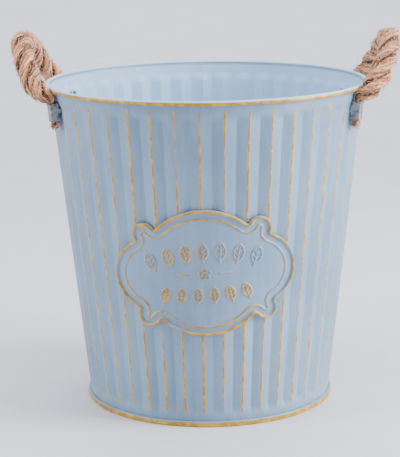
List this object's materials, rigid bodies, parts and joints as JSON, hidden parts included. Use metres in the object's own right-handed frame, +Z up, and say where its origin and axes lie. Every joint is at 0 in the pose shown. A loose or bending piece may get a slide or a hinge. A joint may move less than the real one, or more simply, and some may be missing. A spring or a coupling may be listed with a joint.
{
  "type": "florist bucket",
  "caption": "Tapered pleated sheet-metal bucket with a rolled rim, a curved ornamental label plate and thick rope loop handles held by steel clips.",
  "frame": {"origin": "centre of the foot, on the surface that the bucket stands on", "axes": "+Z up along the bucket's axis; the label plate faces -Y; the rope handles are at -X (left) and +X (right)"},
  "size_m": [0.3314, 0.2798, 0.3221],
  "materials": {
    "painted_sheet": "satin pale blue paint, rubbed through to dull gold on rim, foot and pleat crests",
    "painted_plate": "satin pale blue paint, rubbed through to dull gold on the raised lines",
    "bare_steel": "dull galvanised steel",
    "rope": "hairy laid natural-fibre rope"
  },
  "bodies": {
    "bucket": {"wall": "painted_sheet", "rim_wire": "bare_steel", "base_pan": "painted_sheet", "label_plate": "painted_plate", "left_front_clip": "bare_steel", "left_rear_clip": "bare_steel", "right_front_clip": "bare_steel", "right_rear_clip": "bare_steel", "left_front_rope_end": "rope", "left_rear_rope_end": "rope", "right_front_rope_end": "rope", "right_rear_rope_end": "rope"},
    "left_handle": {"left_rope_loop": "rope"},
    "right_handle": {"right_rope_loop": "rope"}
  },
  "joints": [
    {"name": "left_handle_swing", "type": "hinge", "parent": "bucket", "child": "left_handle", "pos_m": [-0.12848, 0, 0.2719], "axis": [0, -1, 0], "range_deg": [0, 20]},
    {"name": "right_handle_swing", "type": "hinge", "parent": "bucket", "child": "right_handle", "pos_m": [0.12848, 0, 0.2719], "axis": [0, 1, 0], "range_deg": [0, 20]}
  ]
}
